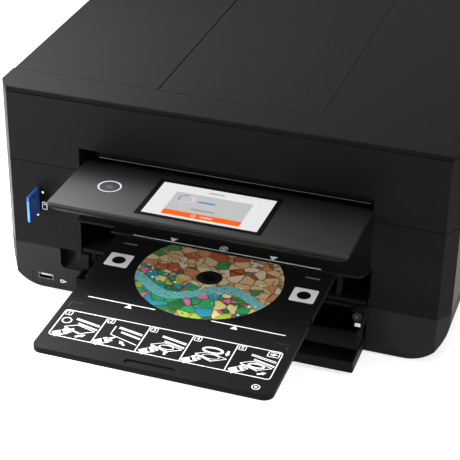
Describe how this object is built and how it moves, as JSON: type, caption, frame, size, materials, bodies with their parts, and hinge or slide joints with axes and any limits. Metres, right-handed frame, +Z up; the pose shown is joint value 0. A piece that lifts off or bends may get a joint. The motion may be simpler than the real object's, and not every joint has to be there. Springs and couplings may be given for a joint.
{
  "type": "disc label printer",
  "caption": "Desktop inkjet all-in-one with a raised touch panel and a sliding tray that carries a disc for label printing.",
  "frame": {"origin": "middle of the footprint, at the surface the printer stands on", "axes": "+X to the printer's right seen from the front, +Y to the back, +Z up"},
  "size_m": [0.39, 0.5254, 0.191],
  "materials": {
    "gloss_black": "glossy moulded",
    "matte_black": "fine textured moulding",
    "lid_grey": "satin textured moulding",
    "tray_black": "satin moulding",
    "panel_gloss": "polished",
    "screen": "touch glass over a lit display",
    "lamp": "translucent light ring",
    "rubber_black": "moulded rubber",
    "steel": "bright zinc-plated sheet and ground shafts",
    "gear_white": "natural acetal",
    "board_green": "solder mask",
    "disc_print": "inkjet printed face",
    "card_blue": "smooth",
    "bed_glass": "float glass",
    "white_foam": "white foam-backed sheet",
    "felt": "pressed felt",
    "ink_black": "moulded"
  },
  "bodies": {
    "case": {"base_case": "matte_black", "rubber_feet": "rubber_black", "main_case": "gloss_black", "scanner_hinge_pins": "steel", "front_sockets": "matte_black", "status_lamp": "lamp", "rear_sockets": "matte_black", "power_supply": "matte_black", "main_board": "board_green", "disc_guide": "tray_black", "tray_rails": "tray_black", "panel_hinge_shaft": "steel", "drive_brackets": "tray_black", "mechanism_frame": "steel", "carriage_shaft": "steel", "pinch_rollers": "tray_black", "star_wheel_bar": "tray_black", "platen": "tray_black", "carriage_belt": "rubber_black", "belt_pulleys": "gear_white", "drive_motors": "steel", "encoder_strip": "gear_white", "maintenance_station": "ink_black", "waste_ink_pad": "felt"},
    "control_panel": {"panel_face": "panel_gloss", "display_module": "screen", "panel_shell": "matte_black", "button_ring": "lamp"},
    "power_button": {"power_button": "panel_gloss"},
    "disc_tray": {"disc_tray": "tray_black", "disc": "disc_print"},
    "scanner_unit": {"scanner_case": "gloss_black", "scan_glass": "bed_glass", "scan_rod": "steel"},
    "scan_carriage": {"scan_carriage": "ink_black"},
    "document_cover": {"lid_frame": "lid_grey", "document_mat": "white_foam", "feeder_chute": "matte_black"},
    "feeder_roller": {"feeder_roller": "rubber_black"},
    "adf_cover": {"adf_cover": "lid_grey"},
    "document_support": {"document_support": "lid_grey"},
    "lower_cassette": {"lower_cassette": "tray_black"},
    "lower_guide_left": {"lower_guide_left": "tray_black"},
    "lower_guide_right": {"lower_guide_right": "tray_black"},
    "upper_cassette": {"upper_cassette": "tray_black"},
    "upper_guide_left": {"upper_guide_left": "tray_black"},
    "upper_guide_right": {"upper_guide_right": "tray_black"},
    "output_tray": {"output_tray": "tray_black"},
    "tray_drive_shaft": {"tray_drive_shaft": "tray_black"},
    "print_carriage": {"carriage": "ink_black", "print_head": "steel", "ink_cartridges": "ink_black"},
    "feed_roller": {"feed_roller": "rubber_black"},
    "exit_roller": {"exit_roller": "rubber_black"},
    "idler_gear_1": {"idler_gear_1": "gear_white"},
    "idler_gear_2": {"idler_gear_2": "gear_white"},
    "idler_gear_3": {"idler_gear_3": "gear_white"},
    "rear_cover": {"rear_cover": "gloss_black"},
    "turn_roller": {"turn_roller": "rubber_black"},
    "memory_card": {"memory_card": "card_blue"}
  },
  "joints": [
    {"name": "control_panel_tilt", "type": "hinge", "parent": "case", "child": "control_panel", "pos_m": [0.004, -0.06525, 0.1256], "axis": [1, 0, 0], "range_deg": [0, 28]},
    {"name": "power_button_press", "type": "slide", "parent": "control_panel", "child": "power_button", "axis": [0, -0.0279, -0.9996], "range_m": [0, 0.0008], "stiffness_N_per_m": 400, "springref_m": -0.0003},
    {"name": "disc_tray_slide", "type": "slide", "parent": "case", "child": "disc_tray", "axis": [0, 1, 0], "range_m": [-0.055, 0.205]},
    {"name": "scanner_unit_lift", "type": "hinge", "parent": "case", "child": "scanner_unit", "pos_m": [0, 0.25925, 0.128], "axis": [-1, 0, 0], "range_deg": [0, 38]},
    {"name": "scan_carriage_slide", "type": "slide", "parent": "scanner_unit", "child": "scan_carriage", "axis": [1, 0, 0], "range_m": [0, 0.31]},
    {"name": "document_cover_lift", "type": "hinge", "parent": "scanner_unit", "child": "document_cover", "pos_m": [0, 0.25425, 0.1845], "axis": [-1, 0, 0], "range_deg": [0, 75]},
    {"name": "feeder_roller_turn", "type": "hinge", "parent": "document_cover", "child": "feeder_roller", "pos_m": [-0.116, 0.08975, 0.1745], "axis": [0, 1, 0], "continuous": true},
    {"name": "adf_cover_open", "type": "hinge", "parent": "document_cover", "child": "adf_cover", "pos_m": [-0.1932, 0.08975, 0.18915], "axis": [0, -1, 0], "range_deg": [0, 80]},
    {"name": "document_support_open", "type": "hinge", "parent": "document_cover", "child": "document_support", "pos_m": [-0.0626, 0.08975, 0.18915], "axis": [0, -1, 0], "range_deg": [0, 35]},
    {"name": "lower_cassette_slide", "type": "slide", "parent": "case", "child": "lower_cassette", "axis": [0, -1, 0], "range_m": [0, 0.2]},
    {"name": "lower_guide_left_slide", "type": "slide", "parent": "lower_cassette", "child": "lower_guide_left", "axis": [1, 0, 0], "range_m": [0, 0.06]},
    {"name": "lower_guide_right_slide", "type": "slide", "parent": "lower_cassette", "child": "lower_guide_right", "axis": [1, 0, 0], "range_m": [-0.06, 0]},
    {"name": "upper_cassette_slide", "type": "slide", "parent": "case", "child": "upper_cassette", "axis": [0, -1, 0], "range_m": [0, 0.16]},
    {"name": "upper_guide_left_slide", "type": "slide", "parent": "upper_cassette", "child": "upper_guide_left", "axis": [1, 0, 0], "range_m": [-0.045, 0.006]},
    {"name": "upper_guide_right_slide", "type": "slide", "parent": "upper_cassette", "child": "upper_guide_right", "axis": [1, 0, 0], "range_m": [-0.006, 0.045]},
    {"name": "output_tray_slide", "type": "slide", "parent": "case", "child": "output_tray", "axis": [0, -1, 0], "range_m": [0, 0.12]},
    {"name": "tray_drive_turn", "type": "hinge", "parent": "case", "child": "tray_drive_shaft", "pos_m": [0.0025, -0.07525, 0.04067], "axis": [1, 0, 0], "range_deg": [-5, 1725]},
    {"name": "print_carriage_slide", "type": "slide", "parent": "case", "child": "print_carriage", "axis": [1, 0, 0], "range_m": [-0.262, 0]},
    {"name": "feed_roller_turn", "type": "hinge", "parent": "case", "child": "feed_roller", "pos_m": [0, 0.08275, 0.0655], "axis": [1, 0, 0], "continuous": true},
    {"name": "idler_gear_1_turn", "type": "hinge", "parent": "case", "child": "idler_gear_1", "pos_m": [-0.114, 0.06175, 0.0655], "axis": [1, 0, 0], "continuous": true},
    {"name": "idler_gear_2_turn", "type": "hinge", "parent": "case", "child": "idler_gear_2", "pos_m": [-0.114, 0.04075, 0.0655], "axis": [1, 0, 0], "continuous": true},
    {"name": "idler_gear_3_turn", "type": "hinge", "parent": "case", "child": "idler_gear_3", "pos_m": [-0.114, 0.01975, 0.0655], "axis": [1, 0, 0], "continuous": true},
    {"name": "exit_roller_turn", "type": "hinge", "parent": "case", "child": "exit_roller", "pos_m": [0, -0.00125, 0.0655], "axis": [1, 0, 0], "continuous": true},
    {"name": "rear_cover_pull", "type": "slide", "parent": "case", "child": "rear_cover", "axis": [0, 1, 0], "range_m": [0, 0.08]},
    {"name": "turn_roller_turn", "type": "hinge", "parent": "case", "child": "turn_roller", "pos_m": [0.0025, 0.19275, 0.05], "axis": [1, 0, 0], "continuous": true},
    {"name": "memory_card_pull", "type": "slide", "parent": "case", "child": "memory_card", "axis": [0, -1, 0], "range_m": [0, 0.03]}
  ],
  "couplings": [
    {"joint": "lower_guide_right_slide", "follows": "lower_guide_left_slide", "ratio": -1},
    {"joint": "upper_guide_right_slide", "follows": "upper_guide_left_slide", "ratio": -1},
    {"joint": "tray_drive_turn", "follows": "output_tray_slide", "rad_per_m": 250},
    {"joint": "idler_gear_1_turn", "follows": "feed_roller_turn", "ratio": -1},
    {"joint": "idler_gear_2_turn", "follows": "feed_roller_turn", "ratio": 1},
    {"joint": "idler_gear_3_turn", "follows": "feed_roller_turn", "ratio": -1},
    {"joint": "exit_roller_turn", "follows": "feed_roller_turn", "ratio": 1}
  ]
}
